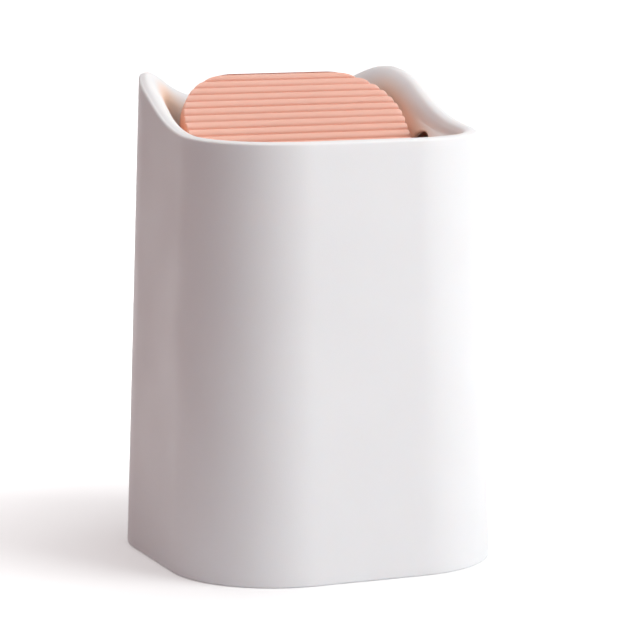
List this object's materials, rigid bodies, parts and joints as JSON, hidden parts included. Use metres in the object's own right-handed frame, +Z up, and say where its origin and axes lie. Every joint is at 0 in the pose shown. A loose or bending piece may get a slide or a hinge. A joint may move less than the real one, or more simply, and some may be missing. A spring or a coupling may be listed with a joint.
{
  "type": "countertop bin",
  "caption": "Small countertop bin: tapered cover with two ear peaks, a ribbed swing flap in a funnel mouth and a lift-out bucket on a base tray.",
  "frame": {"origin": "on the table, under the middle of the cover", "axes": "+Z up; the low front rim is towards -Y, the two ear peaks are at the back corners towards +Y, +X is to the right seen from the front"},
  "size_m": [0.14, 0.14, 0.2018],
  "materials": {
    "cover_white": "satin moulded polypropylene, warm white",
    "inner_white": "matt moulded polypropylene, off-white",
    "flap_peach": "matt moulded polypropylene, peach pink",
    "steel": "plated steel",
    "pad_grey": "soft anti-slip rubber"
  },
  "bodies": {
    "base": {"base_tray": "cover_white", "foot_pads": "pad_grey"},
    "cover": {"outer_cover": "cover_white", "pivot_frame": "inner_white"},
    "flap": {"flap_panel": "flap_peach", "flap_underside": "flap_peach", "balance_weight": "steel", "flap_screws": "steel", "left_pivot_pin": "steel", "right_pivot_pin": "steel"},
    "bucket": {"inner_bucket": "inner_white"}
  },
  "joints": [
    {"name": "cover_lift", "type": "slide", "parent": "base", "child": "cover", "axis": [0, 0, 1], "range_m": [0, 0.24]},
    {"name": "flap_swing", "type": "hinge", "parent": "cover", "child": "flap", "pos_m": [0, 0, 0.162], "axis": [1, 0, 0], "range_deg": [-130.5, 29.5]},
    {"name": "bucket_lift", "type": "slide", "parent": "base", "child": "bucket", "axis": [0, 0, 1], "range_m": [0, 0.06]}
  ],
  "couplings": [
    {"joint": "bucket_lift", "follows": "cover_lift", "ratio": 0.25}
  ]
}
